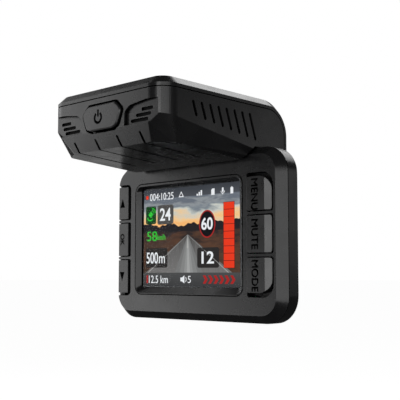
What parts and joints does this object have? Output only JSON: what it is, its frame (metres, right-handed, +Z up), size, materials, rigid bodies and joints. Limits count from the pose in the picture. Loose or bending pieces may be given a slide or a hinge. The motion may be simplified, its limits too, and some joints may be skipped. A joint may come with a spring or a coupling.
{
  "type": "radar detector",
  "caption": "Windscreen-mounted radar detector with a tilting colour screen, push keys, camera and power button.",
  "frame": {"origin": "centre of the adhesive pad's top face, where it meets the windscreen", "axes": "+Z up, out of the pad; +Y towards the road; +X to the right as the driver faces the screen"},
  "size_m": [0.083, 0.0662, 0.081],
  "materials": {
    "case_black": "fine spark-eroded grain, satin",
    "key_black": "satin",
    "pad_foam": "matte foam tape",
    "plate_black": "matte",
    "screw_steel": "zinc-plated",
    "switch_grey": "moulded",
    "grille_mesh": "woven mesh",
    "speaker_body": "moulded",
    "speaker_paper": "pressed paper",
    "microphone_metal": "satin",
    "circuit_green": "solder mask",
    "tin_metal": "tinned",
    "ceramic": "fired ceramic",
    "capacitor_sleeve": "shrink sleeve",
    "cast_zinc": "cast",
    "infrared_window": "polished, dark red",
    "sensor_black": "moulded",
    "pin_steel": "ground",
    "washer_nylon": "smooth",
    "bush_bronze": "sintered",
    "screen_glass": "clear, polished",
    "lcd": "lit picture",
    "lcd_frame_white": "moulded",
    "cell_foil": "foil pouch",
    "lens_black": "anodised",
    "lens_ring_metal": "turned",
    "lens_coated": "coated",
    "card_black": "moulded"
  },
  "bodies": {
    "upper_unit": {"mount_pad": "pad_foam", "mount_plate": "plate_black", "top_cover": "case_black", "upper_housing": "case_black", "housing_screws": "screw_steel", "power_switch": "switch_grey", "grille_screens": "grille_mesh", "speaker_frame": "speaker_body", "speaker_cone": "speaker_paper", "microphone": "microphone_metal", "main_board": "circuit_green", "shield_can": "tin_metal", "gps_antenna": "ceramic", "backup_capacitor": "capacitor_sleeve", "radar_horn": "cast_zinc", "radar_board": "circuit_green", "laser_lens": "infrared_window", "laser_sensor": "sensor_black", "power_socket": "tin_metal", "hinge_pin": "pin_steel", "hinge_washers": "washer_nylon"},
    "screen_unit": {"hinge_bushes": "bush_bronze", "front_bezel": "case_black", "rear_cover": "case_black", "cover_screws": "screw_steel", "screen_window": "screen_glass", "lcd_panel": "lcd", "lcd_frame": "lcd_frame_white", "display_board": "circuit_green", "key_switches": "switch_grey", "battery": "cell_foil", "sensor_board": "circuit_green", "lens_barrel": "lens_black", "lens_ring": "lens_ring_metal", "lens_glass": "lens_coated", "card_socket": "tin_metal"},
    "power_button": {"power_button": "key_black"},
    "memory_card": {"memory_card": "card_black"},
    "menu_key": {"menu_key": "key_black"},
    "mute_key": {"mute_key": "key_black"},
    "mode_key": {"mode_key": "key_black"},
    "up_key": {"up_key": "key_black"},
    "ok_key": {"ok_key": "key_black"},
    "down_key": {"down_key": "key_black"}
  },
  "joints": [
    {"name": "screen_tilt", "type": "hinge", "parent": "upper_unit", "child": "screen_unit", "pos_m": [0, 0.0239, -0.0179], "axis": [1, 0, 0], "range_deg": [0, 35]},
    {"name": "power_press", "type": "slide", "parent": "upper_unit", "child": "power_button", "axis": [0, 1, 0], "range_m": [0, 0.0006], "stiffness_N_per_m": 1500},
    {"name": "menu_press", "type": "slide", "parent": "screen_unit", "child": "menu_key", "axis": [0, 1, 0], "range_m": [0, 0.0005], "stiffness_N_per_m": 1200},
    {"name": "mute_press", "type": "slide", "parent": "screen_unit", "child": "mute_key", "axis": [0, 1, 0], "range_m": [0, 0.0005], "stiffness_N_per_m": 1200},
    {"name": "mode_press", "type": "slide", "parent": "screen_unit", "child": "mode_key", "axis": [0, 1, 0], "range_m": [0, 0.0005], "stiffness_N_per_m": 1200},
    {"name": "up_press", "type": "slide", "parent": "screen_unit", "child": "up_key", "axis": [0, 1, 0], "range_m": [0, 0.0005], "stiffness_N_per_m": 1200},
    {"name": "ok_press", "type": "slide", "parent": "screen_unit", "child": "ok_key", "axis": [0, 1, 0], "range_m": [0, 0.0005], "stiffness_N_per_m": 1200},
    {"name": "down_press", "type": "slide", "parent": "screen_unit", "child": "down_key", "axis": [0, 1, 0], "range_m": [0, 0.0005], "stiffness_N_per_m": 1200},
    {"name": "card_slide", "type": "slide", "parent": "screen_unit", "child": "memory_card", "axis": [-1, 0, 0], "range_m": [0, 0.0035]}
  ]
}
